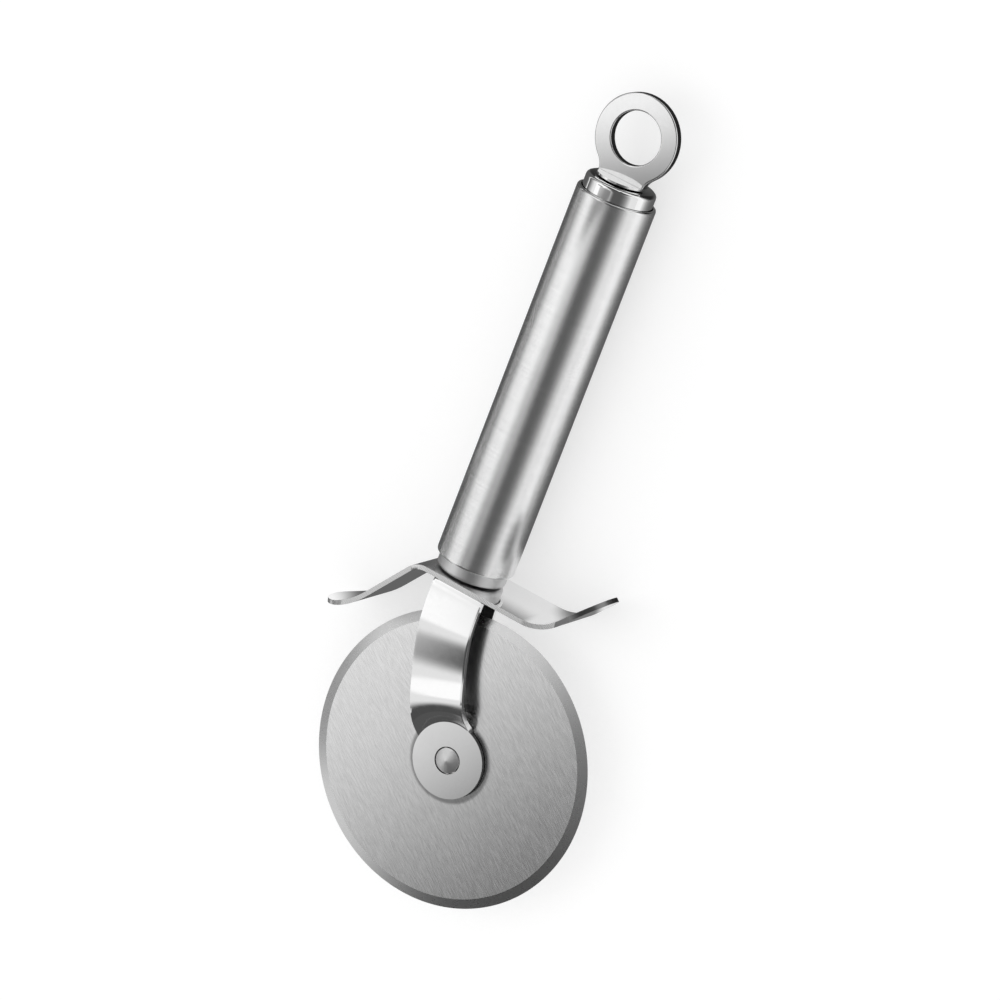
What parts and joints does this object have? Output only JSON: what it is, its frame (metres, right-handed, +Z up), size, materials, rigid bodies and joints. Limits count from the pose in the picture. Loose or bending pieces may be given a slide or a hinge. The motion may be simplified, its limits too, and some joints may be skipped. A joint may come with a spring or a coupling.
{
  "type": "pizza cutter",
  "caption": "All-steel pizza cutter: a bevelled wheel in a bent strip fork, a waved thumb guard and a round tube handle with a hanging eye.",
  "frame": {"origin": "middle of the cutter's box in plan, on the surface that it lies on", "axes": "+Z up, along the wheel's axle, as the cutter lies on its side; +Y along the handle to the hanging eye; +X from the handle's axis to the wheel's side"},
  "size_m": [0.0832, 0.21, 0.0205],
  "materials": {
    "wheel_steel": "stainless steel, brushed in straight lines, with a finely ground bevel",
    "tube_steel": "stainless steel, brushed round the tube",
    "plug_steel": "stainless steel, satin, turned",
    "polished_steel": "stainless steel, polished bright",
    "plain_steel": "plain steel fastener"
  },
  "bodies": {
    "handle": {"wheel_bush": "plain_steel", "axle_rivet": "polished_steel", "wheel_fork": "polished_steel", "thumb_guard": "polished_steel", "lock_washer": "plain_steel", "fork_screw": "plain_steel", "lower_plug": "plug_steel", "handle_tube": "tube_steel", "end_cap": "polished_steel", "hanging_eye": "polished_steel"},
    "wheel": {"cutting_wheel": "wheel_steel"}
  },
  "joints": [
    {"name": "wheel_spin", "type": "hinge", "parent": "handle", "child": "wheel", "pos_m": [0.00414, -0.06755, 0.01025], "axis": [0, 0, 1], "continuous": true}
  ]
}
